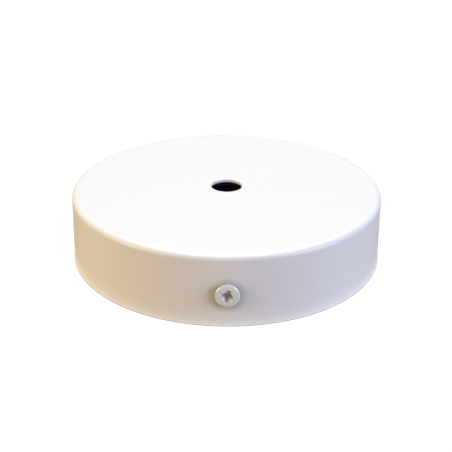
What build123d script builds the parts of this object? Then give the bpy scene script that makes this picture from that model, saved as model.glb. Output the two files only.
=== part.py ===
from build123d import *
import os
from math import cos, radians, sqrt, tan

# Cup, drawn from sheet steel; millimetres, with z = 0 in the plane of the rim, which meets the ceiling
rim_diameter = 100.0
cup_height = 21.5
cup_sheet = 1.0
wall_draft = 1.3  # degrees, the wall leans in towards the face
rim_lip = 0.2  # how far trimming left the rim standing out from the wall
rim_lip_height = 2.5
face_bend_radius = 1.6  # outside, between the wall and the face
face_bend_bevel = 0.35  # what the bend leaves in the corner inside
cord_hole_diameter = 10.0  # takes a 10 mm threaded tube or cord grip

# Strap, bent up from flat bar, with its back in the plane of the rim
strap_sheet = 1.5
strap_width = 16.0
strap_bend_radius = 1.5  # inside
strap_wall_gap = 0.4  # from the corners of the ends to the wall
strap_face_gap = 4.5  # from the top edges of the ends to the underside of the face
strap_end_round = 3.0  # top corners of the ends
strap_passage_diameter = 12.0  # lets the cord through
slot_spacing = 52.0
slot_length = 14.0
slot_width = 5.0

# Threads, plain at their pitch diameter, in collars drawn out of the strap
thread_diameter = 4.0
thread_pitch = 0.7
pitch_depth = 0.65  # drop from crest to pitch line on the diameter, in pitches
thread_play = 0.03  # on the radius
collar_wall = 1.2
collar_height = 2.0
collar_lead_in = 0.4

# Pan head with a cross recess, the same on every screw
head_diameter = 7.0
head_height = 1.7
head_bevel = 0.5  # round the top edge
head_under_bevel = 0.5  # round the edge next to the wall
tip_chamfer = 0.4
recess_width = 4.0
recess_wing = 1.1
recess_core = 2.9
recess_depth = 1.8
recess_taper = 26.5  # degrees, how the wings and the core run in with depth

# Side screws, through the wall into the ends of the strap
side_screw_length = 8.0
side_screw_edge = 5.5  # from the axis to the top edge of the strap's end
side_hole_play = 0.5  # on the diameter
side_seat_gap = 0.4  # left under the head, where the wall comes closest
front_recess_turn = -15.0  # degrees, where each screw came to a stop
rear_recess_turn = 34.0

# Earth terminal on the strap: screw, spring washer and wire clamp on a collar
earth_screw_length = 5.0
earth_recess_turn = 20.0
washer_play = 0.3  # on the diameter
spring_washer_diameter = 7.0
spring_washer_sheet = 0.9
spring_washer_split = 0.8
spring_washer_slant = 25.0  # degrees
clamp_width = 8.0
clamp_sheet = 0.8
clamp_lip = 1.0  # how far the bent edges hang below the clamp
clamp_bend_radius = 0.3  # inside
clamp_collar_play = 0.5  # from the bent edges to the collar

from_base = (Align.CENTER, Align.CENTER, Align.MIN)


def wall_radius(height):
    return rim_diameter / 2 - rim_lip - height * tan(radians(wall_draft))


def inside_radius(height):
    return wall_radius(height) - cup_sheet / cos(radians(wall_draft))


# Places that several pieces share
under_face = cup_height - cup_sheet
strap_top = under_face - strap_face_gap
strap_reach = sqrt((inside_radius(strap_top) - strap_wall_gap) ** 2 - (strap_width / 2) ** 2)
screw_height = strap_top - side_screw_edge
head_seat = wall_radius(screw_height - head_diameter / 2) + side_seat_gap
shank_radius = (thread_diameter - pitch_depth * thread_pitch) / 2
thread_hole_radius = shank_radius + thread_play
collar_radius = thread_hole_radius + collar_wall
washer_hole_radius = (thread_diameter + washer_play) / 2
slot_inner_end = slot_spacing / 2 - slot_length / 2
earth_y = (strap_passage_diameter / 2 + slot_inner_end) / 2
clamp_seat = strap_sheet + collar_height
spring_washer_seat = clamp_seat + clamp_sheet
earth_head_seat = spring_washer_seat + spring_washer_sheet


def make_cup():
    hole_radius = cord_hole_diameter / 2
    section = FilletPolyline(
        (hole_radius, cup_height),
        (wall_radius(cup_height), cup_height),
        (wall_radius(rim_lip_height), rim_lip_height),
        (rim_diameter / 2, 0),
        (inside_radius(0), 0),
        (inside_radius(under_face - face_bend_bevel), under_face - face_bend_bevel),
        (inside_radius(under_face) - face_bend_bevel, under_face),
        (hole_radius, under_face),
        radius=[0, face_bend_radius, 0, 0, 0, 0, 0, 0],
        close=True,
    )
    shell = revolve(Plane.XZ * make_face(section), Axis.Z)
    side_hole = Cylinder((thread_diameter + side_hole_play) / 2, rim_diameter)
    return shell - Pos(0, 0, screw_height) * Rot(X=90) * side_hole


def add_collar(strap, place):
    # place lies on the face that the punch enters, its z axis along the punch's travel
    depth = strap_sheet + collar_height
    collar = Cylinder(collar_radius, depth, align=from_base)
    hole = Cylinder(thread_hole_radius, depth, align=from_base)
    lead_in = Cone(thread_hole_radius + collar_lead_in, thread_hole_radius, collar_lead_in, align=from_base)
    return strap + place * collar - place * hole - place * lead_in


def make_strap():
    middle = strap_sheet / 2
    fold = strap_reach - middle
    neutral_line = FilletPolyline(
        (-fold, strap_top),
        (-fold, middle),
        (fold, middle),
        (fold, strap_top),
        radius=strap_bend_radius + middle,
    )
    strap = extrude(Plane.YZ * trace(neutral_line, strap_sheet), strap_width / 2, both=True)
    end_corners = strap.edges().filter_by(Axis.Y).group_by(Axis.Z)[-1]
    strap = fillet(end_corners, strap_end_round)

    strap -= extrude(Circle(strap_passage_diameter / 2), strap_sheet)
    slot = extrude(SlotOverall(slot_length, slot_width, rotation=90), strap_sheet)
    for side in (-1, 1):
        strap -= Pos(0, side * slot_spacing / 2, 0) * slot

    strap = add_collar(strap, Plane((0, earth_y, 0)))
    for side in (-1, 1):
        end_face = Plane((0, side * strap_reach, screw_height), z_dir=(0, -side, 0))
        strap = add_collar(strap, end_face)
    return strap


def make_recess():
    # Four wings that run in with depth, round a tapered core; z = 0 is the bottom
    run_in = recess_depth * tan(radians(recess_taper))
    wing = Box(recess_width, recess_wing, recess_depth, align=from_base)
    cross = wing + Rot(Z=90) * wing
    wings = cross & Cone(recess_width / 2 - run_in, recess_width / 2, recess_depth, align=from_base)
    return wings + Cone(recess_core / 2 - run_in, recess_core / 2, recess_depth, align=from_base)


def make_screw(length, recess_turn):
    # The head stands on z = 0 and the shank points down
    head_radius = head_diameter / 2
    section = Polyline(
        (0, head_height),
        (0, -length),
        (shank_radius - tip_chamfer, -length),
        (shank_radius, tip_chamfer - length),
        (shank_radius, 0),
        (head_radius - head_under_bevel, 0),
        (head_radius, head_under_bevel),
        (head_radius, head_height - head_bevel),
        (head_radius - head_bevel, head_height),
        close=True,
    )
    screw = revolve(Plane.XZ * make_face(section), Axis.Z)
    return screw - Pos(0, 0, head_height - recess_depth) * Rot(Z=recess_turn) * make_recess()


def make_side_screws():
    front = Plane((0, -head_seat, screw_height), x_dir=(1, 0, 0), z_dir=(0, -1, 0))
    rear = Plane((0, head_seat, screw_height), x_dir=(-1, 0, 0), z_dir=(0, 1, 0))
    return Compound(
        [
            front * make_screw(side_screw_length, front_recess_turn),
            rear * make_screw(side_screw_length, rear_recess_turn),
        ]
    )


def make_clamp():
    # A square plate with two opposite edges bent down astride the collar
    middle = clamp_sheet / 2
    fold = collar_radius + clamp_collar_play + middle
    neutral_line = FilletPolyline(
        (-fold, -clamp_lip),
        (-fold, middle),
        (fold, middle),
        (fold, -clamp_lip),
        radius=clamp_bend_radius + middle,
    )
    clamp = extrude(Plane.YZ * trace(neutral_line, clamp_sheet), clamp_width / 2, both=True)
    return clamp - extrude(Circle(washer_hole_radius), clamp_sheet)


def make_spring_washer():
    rim = spring_washer_diameter / 2
    ring = Circle(rim) - Circle(washer_hole_radius)
    split = Box(rim, spring_washer_split, 2 * rim, align=(Align.MIN, Align.CENTER, Align.CENTER))
    middle = spring_washer_sheet / 2
    return extrude(ring, spring_washer_sheet) - Pos(0, 0, middle) * Rot(X=spring_washer_slant) * split


parts = {
    "canopy_cup": make_cup(),
    "mounting_strap": make_strap(),
    "side_screws": make_side_screws(),
    "earth_clamp": Pos(0, earth_y, clamp_seat) * make_clamp(),
    "earth_spring_washer": Pos(0, earth_y, spring_washer_seat) * make_spring_washer(),
    "earth_screw": Pos(0, earth_y, earth_head_seat) * make_screw(earth_screw_length, earth_recess_turn),
}

os.makedirs("parts", exist_ok=True)
for node, shape in parts.items():
    export_step(shape, f"parts/{node}.step")
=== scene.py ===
import math
import bmesh
import bpy
from mathutils import Matrix, Quaternion, Vector


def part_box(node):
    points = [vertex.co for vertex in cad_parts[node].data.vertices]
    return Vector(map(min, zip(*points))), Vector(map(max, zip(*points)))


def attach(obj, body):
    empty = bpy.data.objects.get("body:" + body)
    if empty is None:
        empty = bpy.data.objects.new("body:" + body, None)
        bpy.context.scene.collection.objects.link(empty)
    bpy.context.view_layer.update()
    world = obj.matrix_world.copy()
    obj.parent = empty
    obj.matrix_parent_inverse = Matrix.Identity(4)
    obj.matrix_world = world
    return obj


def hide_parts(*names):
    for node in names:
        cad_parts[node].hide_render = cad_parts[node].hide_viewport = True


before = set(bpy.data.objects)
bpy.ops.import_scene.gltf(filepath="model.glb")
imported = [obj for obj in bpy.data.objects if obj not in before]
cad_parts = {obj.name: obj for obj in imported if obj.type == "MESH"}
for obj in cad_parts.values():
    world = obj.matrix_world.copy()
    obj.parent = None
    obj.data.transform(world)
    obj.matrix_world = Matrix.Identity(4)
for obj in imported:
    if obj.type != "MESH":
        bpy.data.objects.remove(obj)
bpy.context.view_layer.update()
mm = 0.001
weld = 0.001 * mm  # doubles closer than this are merged


# Selecting, editing and finishing

def clearSelection():
    if bpy.context.object and bpy.context.object.mode != "OBJECT":
        bpy.ops.object.mode_set(mode="OBJECT")
    bpy.ops.object.select_all(action="DESELECT")


def choose(*pieces):
    clearSelection()
    for piece in pieces:
        piece.select_set(True)
    bpy.context.view_layer.objects.active = pieces[0]


def startEditing(name):
    piece = bpy.context.object
    piece.name = name
    piece.data.name = name
    bpy.ops.object.mode_set(mode="EDIT")
    bpy.ops.mesh.select_mode(type="VERT")
    return piece


def stopEditing():
    bpy.ops.object.mode_set(mode="OBJECT")


def placeOf(element):
    if isinstance(element, bmesh.types.BMVert):
        return element.co
    return sum((vert.co for vert in element.verts), Vector()) / len(element.verts)


def pick(kind, test):
    # selects the vertices, edges or faces whose middle passes the test
    bpy.ops.mesh.select_mode(type=kind)
    bpy.ops.mesh.select_all(action="DESELECT")
    mesh = bmesh.from_edit_mesh(bpy.context.object.data)
    elements = {"VERT": mesh.verts, "EDGE": mesh.edges, "FACE": mesh.faces}[kind]
    for element in elements:
        if test(placeOf(element)):
            element.select_set(True)
    mesh.select_flush_mode()
    bmesh.update_edit_mesh(bpy.context.object.data)


def keepOnly(test):
    # drops from the selection the edges whose middle fails the test
    mesh = bmesh.from_edit_mesh(bpy.context.object.data)
    for edge in mesh.edges:
        if edge.select and not test(placeOf(edge)):
            edge.select_set(False)
    mesh.select_flush_mode()
    bmesh.update_edit_mesh(bpy.context.object.data)


def near(corner):
    target = Vector(corner)
    return lambda place: (place - target).length < weld


def extrudeBy(step):
    bpy.ops.mesh.extrude_region_move(TRANSFORM_OT_translate={"value": step})


def mendShell():
    bpy.ops.mesh.select_all(action="SELECT")
    bpy.ops.mesh.remove_doubles(threshold=weld)
    bpy.ops.mesh.normals_make_consistent(inside=False)


def finishWith(piece, kind, **settings):
    choose(piece)
    modifier = piece.modifiers.new(kind.title(), kind)
    for key, value in settings.items():
        setattr(modifier, key, value)
    bpy.ops.object.modifier_apply(modifier=modifier.name)


def combine(piece, other, operation):
    finishWith(piece, "BOOLEAN", object=other, operation=operation, solver="EXACT")
    bpy.data.meshes.remove(other.data)


def weldSlivers(piece):
    # booleans leave a few edges that are next to nothing long
    choose(piece)
    bpy.ops.object.mode_set(mode="EDIT")
    mendShell()
    stopEditing()


def softenEdges(piece, width, segments):
    # rounds each edge that turns by more than 40 degrees
    finishWith(
        piece, "BEVEL", width=width, segments=segments, limit_method="ANGLE",
        angle_limit=math.radians(40),
    )


def smoothOver(piece, angle):
    # edges that turn by more than the angle, in degrees, stay sharp
    choose(piece)
    bpy.ops.object.shade_smooth_by_angle(angle=math.radians(angle))


def moveInto(piece, place):
    choose(piece)
    piece.matrix_world = place
    bpy.ops.object.transform_apply(location=True, rotation=True, scale=True)


def copyOf(piece, name):
    choose(piece)
    bpy.ops.object.duplicate(linked=False)
    twin = bpy.context.object
    twin.name = name
    twin.data.name = name
    return twin


def giveFinish(piece, finish):
    choose(piece)
    piece.data.materials.append(finish)


def paintFaces(piece, finishIndex, test):
    pick("FACE", test)
    piece.active_material_index = finishIndex
    bpy.ops.object.material_slot_assign()


def handOver(piece, node):
    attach(piece, "root")
    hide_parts(node)
    print(f"{piece.name}: {len(piece.data.polygons)} faces, for {node}")


# Turning an outline of (radius, height, corner length) round the z axis

def startPoint(name, place):
    # a single vertex, from which an outline is pulled
    clearSelection()
    bpy.ops.mesh.primitive_plane_add(size=mm)
    piece = startEditing(name)
    bpy.ops.mesh.select_all(action="SELECT")
    bpy.ops.mesh.merge(type="CENTER")
    bpy.ops.transform.translate(value=place)
    return piece


def drawOutline(name, corners, arcSteps):
    radius, height, _ = corners[0]
    piece = startPoint(name, (radius, 0, height))
    for (r0, z0, _), (r1, z1, _) in zip(corners, corners[1:]):
        extrudeBy((r1 - r0, 0, z1 - z0))
    ends = [Vector((r, 0, z)) for r, z, _ in (corners[0], corners[-1])]
    if ends[0].x > 0:  # an outline that starts and ends on the axis closes by itself
        pick("VERT", lambda place: min((place - end).length for end in ends) < weld)
        bpy.ops.mesh.edge_face_add()
    for radius, height, corner in corners:
        if corner:
            pick("VERT", near((radius, 0, height)))
            bpy.ops.mesh.bevel(offset=corner, segments=arcSteps, affect="VERTICES")
    return piece


def spinOutline(steps):
    bpy.ops.mesh.select_all(action="SELECT")
    bpy.ops.mesh.spin(steps=steps, angle=2 * math.pi, center=(0, 0, 0), axis=(0, 0, 1))
    mendShell()
    stopEditing()


def turnPiece(name, corners, steps, arcSteps=6):
    piece = drawOutline(name, corners, arcSteps)
    spinOutline(steps)
    return piece


def roundBar(name, radius, low, high, steps):
    return turnPiece(name, [(0, low, 0), (radius, low, 0), (radius, high, 0), (0, high, 0)], steps)


# Folding a strip of sheet: a flat middle with both ends bent to the height of the tip

def foldStrip(name, width, fold, middle, tip, bend, bendSteps):
    # only the sheet's middle surface, drawn at z = middle and left in edit mode
    clearSelection()
    bpy.ops.mesh.primitive_plane_add(size=1)
    piece = startEditing(name)
    bpy.ops.mesh.select_all(action="SELECT")
    bpy.ops.transform.resize(value=(width, 2 * fold, 1))
    bpy.ops.transform.translate(value=(0, 0, middle))
    for side in (-1, 1):
        pick("EDGE", lambda place: abs(place.y - side * fold) < weld)
        extrudeBy((0, 0, tip - middle))
    pick("EDGE", lambda place: abs(abs(place.y) - fold) < weld and abs(place.z - middle) < weld)
    bpy.ops.mesh.bevel(offset=bend, segments=bendSteps, affect="EDGES")
    return piece


def thickenStrip(piece, sheet):
    bpy.ops.mesh.select_all(action="SELECT")
    bpy.ops.mesh.normals_make_consistent(inside=False)
    stopEditing()
    finishWith(piece, "SOLIDIFY", thickness=sheet, offset=0, use_even_offset=True)


# Canopy cup, drawn from sheet

cupLow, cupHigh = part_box("canopy_cup")
screwsLow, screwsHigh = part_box("side_screws")
screwHeight = (screwsLow.z + screwsHigh.z) / 2

cup = {
    "sheet": 1.0 * mm,
    "draft": 1.3,  # degrees
    "lip": 0.2 * mm,  # how far the trimmed rim stands out from the wall
    "lipHeight": 2.5 * mm,
    "bendOutside": 1.6 * mm,
    "bendInside": 0.6 * mm,
    "cordHole": 5.0 * mm,
    "edgeRound": 0.15 * mm,
    "sideHole": 2.25 * mm,
    "sideHoleSteps": 64,
    "arcSteps": 10,
    "faceCuts": 28,
    "wallCuts": 9,
    "steps": 240,
}


def makeCup():
    rim, height = cupHigh.x, cupHigh.z
    lean = math.tan(math.radians(cup["draft"]))
    wallSheet = cup["sheet"] / math.cos(math.radians(cup["draft"]))
    underFace = height - cup["sheet"]
    hole, edge = cup["cordHole"], cup["edgeRound"]
    wall, lipHeight = rim - cup["lip"], cup["lipHeight"]
    flare = 0.5 * lipHeight  # where the wall's line turns out to the rim, before its round
    flareRound = 0.85 * flare
    outline = [
        (hole, height, edge),
        (wall - height * lean, height, cup["bendOutside"]),
        (wall - flare * lean, flare, flareRound),
        (rim, 0, edge),
        (wall - wallSheet, 0, edge),
        (wall - wallSheet - underFace * lean, underFace, cup["bendInside"]),
        (hole, underFace, edge),
    ]
    piece = drawOutline("canopyCup", outline, cup["arcSteps"])
    # rings across the face and up the wall, so that each quad stays small
    middleOfFace = rim / 2
    pick("EDGE", lambda place: abs(place.x - middleOfFace) < 0.2 * rim)
    bpy.ops.mesh.subdivide(number_cuts=cup["faceCuts"])
    pick("EDGE", lambda place: place.x > 0.9 * rim and abs(place.z - height / 2) < 0.1 * height)
    bpy.ops.mesh.subdivide(number_cuts=cup["wallCuts"])
    spinOutline(cup["steps"])

    reach = 1.1 * rim  # through both walls
    drill = roundBar("drill", cup["sideHole"], -reach, reach, cup["sideHoleSteps"])
    moveInto(drill, Matrix.Translation((0, 0, screwHeight)) @ Matrix.Rotation(math.pi / 2, 4, "X"))
    combine(piece, drill, "DIFFERENCE")
    weldSlivers(piece)
    smoothOver(piece, 30)
    giveFinish(piece, whiteCoat)
    handOver(piece, "canopy_cup")


# Screws with a pan head, a cross recess and a rolled thread

screw = {
    "headRadius": 3.5 * mm,
    "headHeight": 1.7 * mm,
    "headSide": 1.45 * mm,  # where the side would meet the crown, before its round
    "shoulder": 0.38 * mm,
    "crownRadius": 2.7 * mm,
    "crown": 0.35 * mm,
    "seatRound": 1.05 * mm,
    "neckRadius": 1.74 * mm,
    "neckLength": 1.1 * mm,
    "crestRadius": 1.97 * mm,
    "rootRadius": 1.59 * mm,
    "pitch": 0.7 * mm,
    "crestFlat": 0.09 * mm,
    "rootFlat": 0.17 * mm,
    "tipRadius": 1.4 * mm,
    "tipChamfer": 0.6 * mm,
    "blankSpare": 0.1 * mm,  # how far the blank that trims the thread clears its crests
    "threadSteps": 40,
    "headSteps": 96,
    "arcSteps": 8,
    "recessSpan": 4.0 * mm,
    "recessFoot": 2.2 * mm,
    "recessDepth": 1.8 * mm,
    "recessAbove": 0.3 * mm,  # how far the cutter stands above the crown
    "wing": 1.1 * mm,
    "coreRadius": 1.45 * mm,
    "coreFoot": 0.47 * mm,
    "coreBelow": 0.06 * mm,  # how far the core's cone runs on below the wings, to its point
    "corePoint": 0.15 * mm,
    "coreSteps": 36,
    "recessRound": 0.09 * mm,
    "recessSteps": 3,
}


def makeThread(name, low, high, play):
    # one pitch of the thread's flank, screwed up the axis and cut off square at both ends
    pitch = screw["pitch"]
    root, crest = screw["rootRadius"] + play, screw["crestRadius"] + play
    turns = math.ceil((high - low) / pitch) + 4
    start = (math.floor(low / pitch) - 2) * pitch
    flank = (pitch - screw["crestFlat"] - screw["rootFlat"]) / 2
    depth = crest - root
    piece = startPoint(name, (root, 0, start))
    for out, up in ((depth, flank), (0, screw["crestFlat"]), (-depth, flank), (0, screw["rootFlat"])):
        extrudeBy((out, 0, up))
    stopEditing()
    finishWith(
        piece, "SCREW", axis="Z", angle=2 * math.pi, screw_offset=pitch, iterations=turns,
        steps=screw["threadSteps"], render_steps=screw["threadSteps"], use_merge_vertices=False,
    )
    bpy.ops.object.mode_set(mode="EDIT")
    bpy.ops.mesh.select_all(action="SELECT")
    bpy.ops.mesh.remove_doubles(threshold=weld)
    for height, direction in ((low, -1), (high, 1)):
        bpy.ops.mesh.select_all(action="SELECT")
        bpy.ops.mesh.bisect(
            plane_co=(0, 0, height), plane_no=(0, 0, direction), use_fill=True, clear_outer=True,
            threshold=0.1 * weld,
        )
    mendShell()
    stopEditing()
    return piece


def makeRecessCutter():
    # a square core with a wing pulled out of each side, the wings' ends running in with depth
    s = screw
    top, foot = s["headHeight"] + s["recessAbove"], s["headHeight"] - s["recessDepth"]
    core = s["wing"] / 2
    taper = (s["recessSpan"] - s["recessFoot"]) / 2 / s["recessDepth"]
    reach = s["recessFoot"] / 2 + taper * (top - foot)
    clearSelection()
    bpy.ops.mesh.primitive_cube_add(size=1, scale=(2 * core, 2 * core, top - foot))
    piece = startEditing("recessCutter")
    bpy.ops.mesh.select_all(action="SELECT")
    bpy.ops.transform.translate(value=(0, 0, (top + foot) / 2))
    for way in (Vector((1, 0, 0)), Vector((-1, 0, 0)), Vector((0, 1, 0)), Vector((0, -1, 0))):
        pick("FACE", lambda place: place.dot(way) > core - weld and abs(place.cross(way).z) < weld)
        extrudeBy(way * (reach - core))
        pick("VERT", lambda place: place.dot(way) > core + weld and place.z < foot + weld)
        bpy.ops.transform.translate(value=-way * taper * (top - foot))
    mendShell()
    stopEditing()
    low, high = foot - s["coreBelow"], top + s["coreBelow"]
    swell = (s["coreRadius"] - s["coreFoot"]) / (s["headHeight"] - low)
    cone = [
        (0, low - s["corePoint"], 0),
        (s["coreFoot"], low, 0),
        (s["coreFoot"] + swell * (high - low), high, 0),
        (0, high, 0),
    ]
    combine(piece, turnPiece("recessCore", cone, s["coreSteps"]), "UNION")
    return piece


def makeScrew(name, length):
    # the head stands on z = 0 and the shank points down
    s = screw
    outline = [
        (0, s["headHeight"], 0),
        (s["crownRadius"], s["headHeight"], s["crown"]),
        (s["headRadius"], s["headSide"], s["shoulder"]),
        (s["headRadius"], 0, s["seatRound"]),
        (s["neckRadius"], 0, 0),
        (s["neckRadius"], -s["neckLength"], 0),
        (0, -s["neckLength"], 0),
    ]
    piece = turnPiece(name, outline, s["headSteps"], s["arcSteps"])
    bpy.ops.object.mode_set(mode="EDIT")
    pick("FACE", lambda place: place.z > s["headHeight"] - weld)
    bpy.ops.mesh.dissolve_faces()  # one flat face, so that the recess gets a clean edge
    stopEditing()
    combine(piece, makeRecessCutter(), "DIFFERENCE")
    bpy.ops.object.mode_set(mode="EDIT")
    bpy.ops.mesh.select_mode(type="EDGE")
    bpy.ops.mesh.select_all(action="DESELECT")
    bpy.ops.mesh.edges_select_sharp(sharpness=math.radians(35))
    keepOnly(lambda place: place.z > s["headHeight"] - weld)
    bpy.ops.mesh.bevel(offset=s["recessRound"], segments=s["recessSteps"], affect="EDGES")
    stopEditing()

    threadTop = -0.75 * s["neckLength"]  # inside the neck, which the thread joins
    thread = makeThread("thread", -length - s["pitch"], threadTop, 0)
    blankRadius = s["crestRadius"] + s["blankSpare"]
    blank = [
        (0, -length, 0),
        (s["tipRadius"], -length, 0),
        (blankRadius, -length + s["tipChamfer"], 0),
        (blankRadius, 0, 0),
        (0, 0, 0),
    ]
    combine(thread, turnPiece("blank", blank, s["headSteps"]), "INTERSECT")
    combine(piece, thread, "UNION")
    weldSlivers(piece)
    smoothOver(piece, 35)
    return piece


def screwPlace(seat, outward, turn):
    # the screw's own axes carried to a seat, and turned to where it came to a stop
    upright = outward.to_track_quat("Z", "Y").to_matrix().to_4x4()
    return Matrix.Translation(seat) @ upright @ Matrix.Rotation(turn, 4, "Z")


sideScrews = {
    "length": 8.0 * mm,
    "frontTurn": -15.0,  # degrees
    "rearTurn": 34.0,
}

earthLow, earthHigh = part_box("earth_screw")
earthScrew = {
    "length": 5.0 * mm,
    "turn": 20.0,  # degrees
    "y": (earthLow.y + earthHigh.y) / 2,
}

headSeat = screwsHigh.y - screw["headHeight"]
frontPlace = screwPlace(
    Vector((0, -headSeat, screwHeight)), Vector((0, -1, 0)), math.radians(sideScrews["frontTurn"]))
rearPlace = screwPlace(
    Vector((0, headSeat, screwHeight)), Vector((0, 1, 0)), math.radians(sideScrews["rearTurn"]))
earthPlace = screwPlace(
    Vector((0, earthScrew["y"], earthHigh.z - screw["headHeight"])), Vector((0, 0, 1)),
    math.radians(earthScrew["turn"]))


def makeSideScrews():
    front = makeScrew("sideScrews", sideScrews["length"])
    finishes = [whiteLacquer, shadedRecessLacquer, zincPlate]
    for finish in finishes:
        giveFinish(front, finish)
    span, edge = screw["recessSpan"] / 2, screw["headHeight"] - 2 * screw["recessRound"]
    bpy.ops.object.mode_set(mode="EDIT")
    paintFaces(front, finishes.index(zincPlate), lambda place: place.z < -weld)
    # painted shade: the lacquer inside the recess is greyer than on the head, standing in for the
    # shade that the recess holds
    paintFaces(
        front, finishes.index(shadedRecessLacquer),
        lambda place: place.xy.length < span and -mm < place.z < edge,
    )
    stopEditing()
    rear = copyOf(front, "rearScrew")
    moveInto(front, frontPlace)
    moveInto(rear, rearPlace)
    choose(front, rear)
    bpy.ops.object.join()
    handOver(front, "side_screws")


def makeEarthScrew():
    piece = makeScrew("earthScrew", earthScrew["length"])
    moveInto(piece, earthPlace)
    giveFinish(piece, terminalBrass)
    handOver(piece, "earth_screw")


# Mounting strap, bent up from flat bar, with threaded collars

strapLow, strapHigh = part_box("mounting_strap")
strap = {
    "sheet": 1.5 * mm,
    "bendInside": 1.5 * mm,
    "bendSteps": 10,
    "endRound": 3.0 * mm,
    "endSteps": 10,
    "edgeRound": 0.15 * mm,
    "edgeSteps": 3,
    "passage": 6.0 * mm,
    "passageSteps": 96,
    "slotSpacing": 52.0 * mm,
    "slotLength": 14.0 * mm,
    "slotWidth": 5.0 * mm,
    "slotSteps": 16,
    "collarRadius": 3.0 * mm,
    "collarHeight": 2.0 * mm,
    "collarRoot": 0.35 * mm,
    "collarEdge": 0.15 * mm,
    "collarSteps": 96,
    "pilotRadius": 1.4 * mm,
    "mouth": 0.55 * mm,
    "mouthSteps": 80,
    "threadPlay": 0.03 * mm,
    "tapStart": -12.0 * mm,  # along the screw, from the seat of its head
    "tapEnd": -0.2 * mm,
}


def makeSlotCutter(y):
    length, width = strap["slotLength"], strap["slotWidth"]
    clearSelection()
    bpy.ops.mesh.primitive_plane_add(size=1)
    piece = startEditing("slotCutter")
    bpy.ops.mesh.select_all(action="SELECT")
    bpy.ops.transform.resize(value=(width, length, 1))
    bpy.ops.mesh.bevel(offset=width / 2 - weld, segments=strap["slotSteps"], affect="VERTICES")
    bpy.ops.mesh.select_all(action="SELECT")
    bpy.ops.transform.translate(value=(0, y, -strap["sheet"]))
    extrudeBy((0, 0, 4 * strap["sheet"]))
    mendShell()
    stopEditing()
    return piece


def addCollar(piece, place):
    # place lies where the punch enters, and its z axis runs the way the punch went
    s = strap
    depth = s["sheet"] + s["collarHeight"]
    wall = s["collarRadius"]
    plugFoot = 0.4 * s["sheet"]  # inside the sheet, so that no two faces coincide
    flare = [
        (0, plugFoot, 0),
        (wall + s["collarRoot"] + s["sheet"] - plugFoot, plugFoot, 0),
        (wall, s["sheet"] + s["collarRoot"], s["collarRoot"]),
        (wall, depth, s["collarEdge"]),
        (0, depth, 0),
    ]
    plug = turnPiece("plug", flare, s["collarSteps"])
    moveInto(plug, place)
    combine(piece, plug, "UNION")
    bore = s["pilotRadius"]
    boreEnd = 0.6 * depth  # the tap opens the rest
    mouth = [
        (0, -s["mouth"], 0),
        (bore + 2 * s["mouth"], -s["mouth"], 0),
        (bore, s["mouth"], s["mouth"]),
        (bore, boreEnd, 0),
        (0, boreEnd, 0),
    ]
    funnel = turnPiece("funnel", mouth, s["mouthSteps"])
    moveInto(funnel, place)
    combine(piece, funnel, "DIFFERENCE")


def tapCollar(piece, screwSpot):
    tap = makeThread("tap", strap["tapStart"], strap["tapEnd"], strap["threadPlay"])
    moveInto(tap, screwSpot)
    combine(piece, tap, "DIFFERENCE")


def makeStrap():
    s = strap
    width, reach, top = strapHigh.x - strapLow.x, strapHigh.y, strapHigh.z
    middle = s["sheet"] / 2
    bend = s["bendInside"] + middle
    piece = foldStrip("mountingStrap", width, reach - middle, middle, top, bend, s["bendSteps"])
    pick("VERT", lambda place: abs(place.z - top) < weld)
    bpy.ops.mesh.bevel(offset=s["endRound"], segments=s["endSteps"], affect="VERTICES")
    thickenStrip(piece, s["sheet"])

    punch = roundBar("punch", s["passage"], -2 * s["sheet"], 2 * s["sheet"], s["passageSteps"])
    combine(piece, punch, "DIFFERENCE")
    for side in (-1, 1):
        combine(piece, makeSlotCutter(side * s["slotSpacing"] / 2), "DIFFERENCE")
    softenEdges(piece, s["edgeRound"], s["edgeSteps"])

    addCollar(piece, Matrix.Translation((0, earthScrew["y"], 0)))
    for side in (-1, 1):
        inward = Vector((0, -side, 0)).to_track_quat("Z", "Y").to_matrix().to_4x4()
        addCollar(piece, Matrix.Translation((0, side * reach, screwHeight)) @ inward)
    for spot in (earthPlace, frontPlace, rearPlace):
        tapCollar(piece, spot)
    smoothOver(piece, 30)
    giveFinish(piece, zincPlate)
    handOver(piece, "mounting_strap")


# Earth terminal: wire clamp and spring washer

clampLow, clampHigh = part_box("earth_clamp")
clamp = {
    "sheet": 0.8 * mm,
    "bendInside": 0.3 * mm,
    "bendSteps": 8,
    "edgeRound": 0.1 * mm,
    "edgeSteps": 2,
    "hole": 2.15 * mm,
    "holeSteps": 64,
}


def makeClamp():
    c = clamp
    width = clampHigh.x - clampLow.x
    half = c["sheet"] / 2
    fold = (clampHigh.y - clampLow.y) / 2 - half
    bend = c["bendInside"] + half
    piece = foldStrip("earthClamp", width, fold, clampHigh.z - half, clampLow.z, bend, c["bendSteps"])
    thickenStrip(piece, c["sheet"])
    punch = roundBar("punch", c["hole"], clampLow.z, clampHigh.z + mm, c["holeSteps"])
    combine(piece, punch, "DIFFERENCE")
    softenEdges(piece, c["edgeRound"], c["edgeSteps"])
    moveInto(piece, Matrix.Translation((0, (clampHigh.y + clampLow.y) / 2, 0)))
    smoothOver(piece, 30)
    giveFinish(piece, terminalBrass)
    handOver(piece, "earth_clamp")


washerLow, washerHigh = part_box("earth_spring_washer")
springWasher = {
    "radius": 3.5 * mm,
    "hole": 2.15 * mm,
    "edgeRound": 0.12 * mm,
    "split": 0.8 * mm,
    "slant": 25.0,  # degrees
    "steps": 96,
    "arcSteps": 4,
}


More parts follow.
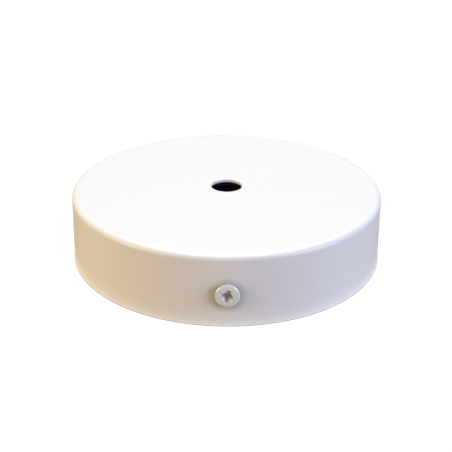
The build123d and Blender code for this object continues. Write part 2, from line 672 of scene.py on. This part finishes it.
def makeSpringWasher():
    w = springWasher
    centre = (washerLow.y + washerHigh.y) / 2
    low, high = washerLow.z, washerHigh.z
    section = [
        (w["hole"], low, w["edgeRound"]),
        (w["radius"], low, w["edgeRound"]),
        (w["radius"], high, w["edgeRound"]),
        (w["hole"], high, w["edgeRound"]),
    ]
    piece = turnPiece("earthSpringWasher", section, w["steps"], w["arcSteps"])
    clearSelection()
    bpy.ops.mesh.primitive_cube_add(size=1, scale=(2 * w["radius"], w["split"], 4 * w["radius"]))
    saw = startEditing("saw")
    bpy.ops.mesh.select_all(action="SELECT")
    bpy.ops.transform.translate(value=(w["radius"], 0, 0))
    stopEditing()
    slant = Matrix.Rotation(math.radians(w["slant"]), 4, "X")
    moveInto(saw, Matrix.Translation((0, 0, (low + high) / 2)) @ slant)
    combine(piece, saw, "DIFFERENCE")
    moveInto(piece, Matrix.Translation((0, centre, 0)))
    smoothOver(piece, 30)
    giveFinish(piece, zincPlate)
    handOver(piece, "earth_spring_washer")


# Effects that several finishes share

def newGroup(name, inputs, outputs):
    group = bpy.data.node_groups.new(name, "ShaderNodeTree")
    for label, kind, value in inputs:
        socket = group.interface.new_socket(label, in_out="INPUT", socket_type=kind)
        socket.default_value = value
    for label, kind in outputs:
        group.interface.new_socket(label, in_out="OUTPUT", socket_type=kind)
    return group, group.nodes.new("NodeGroupInput"), group.nodes.new("NodeGroupOutput")


def addNode(tree, kind, inputs=None, **settings):
    # each input is linked if it is another node's output, and otherwise set
    node = tree.nodes.new(kind)
    for key, value in settings.items():
        setattr(node, key, value)
    for key, value in (inputs or {}).items():
        if isinstance(value, bpy.types.NodeSocket):
            tree.links.new(value, node.inputs[key])
        else:
            node.inputs[key].default_value = value
    return node


def spread(tree, value, low, high, fromLow=0.3, fromHigh=0.7):
    # a value stretched to the range that a socket needs; noise lies mostly between 0.3 and 0.7
    return addNode(tree, "ShaderNodeMapRange", {
        "Value": value, "From Min": fromLow, "From Max": fromHigh, "To Min": low, "To Max": high,
    }).outputs["Result"]


def blendColours(tree, factor, first, second):
    # by number, because the node has sockets of one name for each kind of data
    mix = addNode(tree, "ShaderNodeMix", {0: factor, 6: first, 7: second}, data_type="RGBA")
    return mix.outputs[2]


def makeOrangePeel():
    # the soft pebbling of a sprayed or powder coat, and the slow drift of its tone
    group, given, result = newGroup(
        "orangePeel",
        [("Vector", "NodeSocketVector", (0, 0, 0)), ("Pebbles", "NodeSocketFloat", 900.0),
         ("Drift", "NodeSocketFloat", 30.0)],
        [("Height", "NodeSocketFloat"), ("Tone", "NodeSocketFloat")])
    pebbles = addNode(group, "ShaderNodeTexNoise", {
        "Vector": given.outputs["Vector"], "Scale": given.outputs["Pebbles"], "Detail": 1.0})
    drift = addNode(group, "ShaderNodeTexNoise", {
        "Vector": given.outputs["Vector"], "Scale": given.outputs["Drift"], "Detail": 3.0})
    group.links.new(pebbles.outputs["Fac"], result.inputs["Height"])
    group.links.new(drift.outputs["Fac"], result.inputs["Tone"])
    return group


def makeMetalGrain():
    # fine lines left by rolling or turning, and the clouds of a plated or handled surface
    group, given, result = newGroup(
        "metalGrain",
        [("Vector", "NodeSocketVector", (0, 0, 0)), ("Stretch", "NodeSocketVector", (1, 1, 1)),
         ("Clouds", "NodeSocketFloat", 150.0)],
        [("Lines", "NodeSocketFloat"), ("Cloud", "NodeSocketFloat")])
    stretched = addNode(group, "ShaderNodeVectorMath", {
        0: given.outputs["Vector"], 1: given.outputs["Stretch"]}, operation="MULTIPLY")
    lines = addNode(group, "ShaderNodeTexNoise", {
        "Vector": stretched.outputs["Vector"], "Scale": 1.0, "Detail": 4.0})
    cloud = addNode(group, "ShaderNodeTexNoise", {
        "Vector": given.outputs["Vector"], "Scale": given.outputs["Clouds"], "Detail": 3.0})
    group.links.new(lines.outputs["Fac"], result.inputs["Lines"])
    group.links.new(cloud.outputs["Fac"], result.inputs["Cloud"])
    return group


def makeEdgeRub():
    # a broken line along the edges, where a finish thins or is handled
    group, given, result = newGroup(
        "edgeRub",
        [("Vector", "NodeSocketVector", (0, 0, 0)), ("From", "NodeSocketFloat", 0.53),
         ("To", "NodeSocketFloat", 0.62), ("Breaks", "NodeSocketFloat", 700.0)],
        [("Mask", "NodeSocketFloat")])
    shape = addNode(group, "ShaderNodeNewGeometry")
    edge = addNode(group, "ShaderNodeMapRange", {
        "Value": shape.outputs["Pointiness"], "From Min": given.outputs["From"],
        "From Max": given.outputs["To"]})
    breaks = addNode(group, "ShaderNodeTexNoise", {
        "Vector": given.outputs["Vector"], "Scale": given.outputs["Breaks"], "Detail": 2.0})
    strength = spread(group, breaks.outputs["Fac"], 0.2, 1.0)
    broken = addNode(group, "ShaderNodeMath", {
        0: edge.outputs["Result"], 1: strength}, operation="MULTIPLY")
    group.links.new(broken.outputs["Value"], result.inputs["Mask"])
    return group


orangePeel = makeOrangePeel()
metalGrain = makeMetalGrain()
edgeRub = makeEdgeRub()


# Finishes

def newFinish(name, metallic):
    material = bpy.data.materials.new(name)
    material.use_nodes = True
    tree = material.node_tree
    shader = tree.nodes["Principled BSDF"]
    shader.inputs["Metallic"].default_value = metallic
    place = addNode(tree, "ShaderNodeTexCoord").outputs["Object"]
    return material, tree, shader, place


def useGroup(tree, group, **inputs):
    return addNode(tree, "ShaderNodeGroup", inputs, node_tree=group).outputs


def raiseSurface(tree, shader, height, depth):
    bump = addNode(tree, "ShaderNodeBump", {"Height": height, "Distance": depth})
    tree.links.new(bump.outputs["Normal"], shader.inputs["Normal"])


coats = {
    "whiteCoat": {
        "light": (0.86, 0.86, 0.85, 1),
        "shade": (0.83, 0.83, 0.815, 1),
        "rubbed": (0.74, 0.735, 0.72, 1),
        "smooth": 0.34,
        "rough": 0.42,
        "pebbles": 1100.0,
        "drift": 28.0,
        "peel": 0.004 * mm,
        # painted shade and shadow round the side screws' heads, darkest below them
        "screwShade": {
            "tone": (0.36, 0.35, 0.33, 1),
            "amount": 0.65,
            "from": 3.4 * mm,
            "to": 5.7 * mm,
            "drop": 0.8 * mm,  # how far its middle lies below the screw's
        },
    },
    "whiteLacquer": {
        "light": (0.85, 0.85, 0.845, 1),
        "shade": (0.81, 0.81, 0.80, 1),
        "rubbed": (0.70, 0.70, 0.69, 1),
        "smooth": 0.16,
        "rough": 0.24,
        "pebbles": 2200.0,
        "drift": 300.0,
        "peel": 0.002 * mm,
        "gloss": 1.0,
    },
    # painted shade: the head's lacquer made greyer, for the inside of the recess
    "shadedRecessLacquer": {
        "light": (0.80, 0.795, 0.78, 1),
        "shade": (0.66, 0.655, 0.64, 1),
        "rubbed": (0.74, 0.74, 0.73, 1),
        "smooth": 0.24,
        "rough": 0.40,
        "pebbles": 2200.0,
        "drift": 700.0,
        "peel": 0.002 * mm,
    },
}
glossRoughness = 0.12  # of the clear layer on a coat that has a gloss


def paintedShadeNearScrews(tree, place, colour, screwShade):
    # painted shade and shadow: the wall a little darker round the heads, most of all below them,
    # where the heads keep the light off
    flat = addNode(tree, "ShaderNodeVectorMath", {0: place, 1: (1, 0, 1)}, operation="MULTIPLY")
    away = addNode(tree, "ShaderNodeVectorMath", {
        0: flat.outputs["Vector"], 1: (0, 0, screwHeight - screwShade["drop"])}, operation="DISTANCE")
    amount = spread(tree, away.outputs["Value"], screwShade["amount"], 0, screwShade["from"], screwShade["to"])
    return blendColours(tree, amount, colour, screwShade["tone"])


def makeCoat(name):
    c = coats[name]
    material, tree, shader, place = newFinish(name, 0.0)
    peel = useGroup(tree, orangePeel, Vector=place, Pebbles=c["pebbles"], Drift=c["drift"])
    rub = useGroup(tree, edgeRub, Vector=place)
    tone = blendColours(tree, spread(tree, peel["Tone"], 0, 1), c["light"], c["shade"])
    colour = blendColours(tree, spread(tree, rub["Mask"], 0, 0.5, 0, 1), tone, c["rubbed"])
    # the cup's coat gets painted shade round the screw heads
    if "screwShade" in c:
        colour = paintedShadeNearScrews(tree, place, colour, c["screwShade"])
    tree.links.new(colour, shader.inputs["Base Color"])
    tree.links.new(spread(tree, peel["Tone"], c["smooth"], c["rough"]), shader.inputs["Roughness"])
    shader.inputs["Coat Weight"].default_value = c.get("gloss", 0.0)
    shader.inputs["Coat Roughness"].default_value = glossRoughness
    raiseSurface(tree, shader, peel["Height"], c["peel"])
    return material


metals = {
    "zincPlate": {
        "light": (0.74, 0.75, 0.77, 1),
        "shade": (0.60, 0.62, 0.65, 1),
        "rubbed": (0.85, 0.86, 0.87, 1),
        "smooth": 0.24,
        "rough": 0.40,
        "stretch": (5200.0, 130.0, 2600.0),
        "clouds": 160.0,
        "depth": 0.002 * mm,
    },
    "terminalBrass": {
        "light": (0.83, 0.62, 0.28, 1),
        "shade": (0.66, 0.45, 0.17, 1),
        "rubbed": (0.93, 0.76, 0.42, 1),
        "smooth": 0.22,
        "rough": 0.38,
        "stretch": (900.0, 900.0, 5000.0),
        "clouds": 420.0,
        "depth": 0.002 * mm,
    },
}


def makeMetal(name):
    m = metals[name]
    material, tree, shader, place = newFinish(name, 1.0)
    grain = useGroup(tree, metalGrain, Vector=place, Stretch=m["stretch"], Clouds=m["clouds"])
    rub = useGroup(tree, edgeRub, Vector=place)
    tone = blendColours(tree, spread(tree, grain["Cloud"], 0, 1), m["light"], m["shade"])
    colour = blendColours(tree, spread(tree, rub["Mask"], 0, 0.8, 0, 1), tone, m["rubbed"])
    tree.links.new(colour, shader.inputs["Base Color"])
    tree.links.new(spread(tree, grain["Lines"], m["smooth"], m["rough"]), shader.inputs["Roughness"])
    raiseSurface(tree, shader, grain["Lines"], m["depth"])
    return material


whiteCoat = makeCoat("whiteCoat")
whiteLacquer = makeCoat("whiteLacquer")
shadedRecessLacquer = makeCoat("shadedRecessLacquer")
zincPlate = makeMetal("zincPlate")
terminalBrass = makeMetal("terminalBrass")
print("finishes:", ", ".join([*coats, *metals]))


# Building the object

makeCup()
makeSideScrews()
makeStrap()
makeClamp()
makeSpringWasher()
makeEarthScrew()


# Floor, light and camera

studio = {
    "floorSize": 60.0,
    "floorMiddle": 0.3,  # its own face, since the table lights the object from close by
    "floorDrop": 0.05 * mm,
    "tableGlow": (0.38, 0.26, 0.15, 1),  # as it lights the object
    "rimGlow": (1.0, 0.87, 0.76, 1),  # close to the rim
    "rimGlowWidth": 3.0 * mm,
    "underShade": (0.008, 0.007, 0.006, 1),  # under the cup, seen through the cord hole
    "underGlow": (0.9, 0.9, 0.9, 1),  # under the cup, seen from below the table
    "tableWhite": (1.05, 1.05, 1.05, 1),
    "roomGlow": (0.01, 0.01, 0.01, 1),  # as it lights the object
    # name: place, size, watts, colour; each panel faces the object
    "panels": {
        "overBack": ((0.0, 0.36, 0.70), 0.5, 5.85, (1.0, 1.0, 1.0)),
        "overFront": ((0.0, -0.45, 0.70), 0.5, 0.7, (1.0, 1.0, 1.0)),
        "warmLeft": ((-0.75, -0.27, 0.29), 0.5, 4.95, (1.0, 0.82, 0.57)),
        "coolRight": ((0.70, -0.38, 0.29), 0.5, 6.05, (0.63, 0.73, 1.0)),
    },
}


def makeFloor():
    clearSelection()
    bpy.ops.mesh.primitive_plane_add(size=studio["floorSize"], location=(0, 0, -studio["floorDrop"]))
    floor = startEditing("floor")
    bpy.ops.mesh.select_all(action="SELECT")
    bpy.ops.mesh.inset(thickness=(studio["floorSize"] - studio["floorMiddle"]) / 2)
    stopEditing()
    material, tree, shader, place = newFinish("paleFloor", 0.0)
    # a lit table: white to the camera, dark under the cup, and see-through from below,
    # where it lights the inside of the cup
    reach = addNode(tree, "ShaderNodeVectorMath", {0: place}, operation="LENGTH").outputs["Value"]
    outside = addNode(tree, "ShaderNodeMath", {0: reach, 1: cupHigh.x}, operation="GREATER_THAN")
    closeBy = spread(tree, reach, 1, 0, cupHigh.x, cupHigh.x + studio["rimGlowWidth"])
    rays = addNode(tree, "ShaderNodeLightPath").outputs
    under = blendColours(tree, rays["Transparent Depth"], studio["underShade"], studio["underGlow"])
    glow = blendColours(tree, closeBy, studio["tableGlow"], studio["rimGlow"])
    around = blendColours(tree, rays["Is Camera Ray"], glow, studio["tableWhite"])
    shine = addNode(tree, "ShaderNodeEmission", {
        "Color": blendColours(tree, outside.outputs["Value"], under, around)})
    clear = addNode(tree, "ShaderNodeBsdfTransparent")
    below = addNode(tree, "ShaderNodeNewGeometry").outputs["Backfacing"]
    surface = addNode(tree, "ShaderNodeMixShader", {
        0: below, 1: shine.outputs["Emission"], 2: clear.outputs["BSDF"]})
    tree.nodes.remove(shader)
    tree.links.new(surface.outputs["Shader"], tree.nodes["Material Output"].inputs["Surface"])
    floor.data.materials.append(material)


def makeLights():
    target = Vector((0, 0, cupHigh.z / 2))
    for name, (place, size, watts, colour) in studio["panels"].items():
        bpy.ops.object.light_add(type="AREA", location=place)
        lamp = bpy.context.object
        lamp.name = name
        lamp.rotation_euler = (Vector(place) - target).to_track_quat("Z", "Y").to_euler()
        lamp.data.shape = "SQUARE"
        lamp.data.size = size
        lamp.data.energy = watts
        lamp.data.color = colour
    world = bpy.data.worlds.new("softRoom")
    world.use_nodes = True
    # white to the camera, as the table is, so that no horizon shows
    tree = world.node_tree
    seen = addNode(tree, "ShaderNodeLightPath").outputs["Is Camera Ray"]
    colour = blendColours(tree, seen, studio["roomGlow"], studio["tableWhite"])
    tree.links.new(colour, tree.nodes["Background"].inputs["Color"])
    bpy.context.scene.world = world
    bpy.context.scene.view_settings.view_transform = "Standard"


camera = {
    "distance": 274.6 * mm,
    "azimuth": -0.49,  # degrees
    "elevation": 25.228,
    "roll": 0.44,
    "lens": 66.52,
    "sensor": 36,
    "shiftX": -0.00093,
    "shiftY": -0.02316,
}


def makeCamera():
    target = Vector((0, 0, cupHigh.z / 2))
    turn, tilt = math.radians(camera["azimuth"]), math.radians(camera["elevation"])
    back = Vector((math.sin(turn) * math.cos(tilt), -math.cos(turn) * math.cos(tilt), math.sin(tilt)))
    bpy.ops.object.camera_add(location=target + camera["distance"] * back)
    eye = bpy.context.object
    eye.name = "photoCamera"
    roll = Quaternion((0, 0, 1), math.radians(camera["roll"]))
    eye.rotation_euler = (back.to_track_quat("Z", "Y") @ roll).to_euler()
    eye.data.lens = camera["lens"]
    eye.data.sensor_width = camera["sensor"]
    eye.data.shift_x = camera["shiftX"]
    eye.data.shift_y = camera["shiftY"]
    eye.data.clip_start = mm
    bpy.context.scene.camera = eye


makeFloor()
makeLights()
makeCamera()
print("studio: floor, panels and camera")
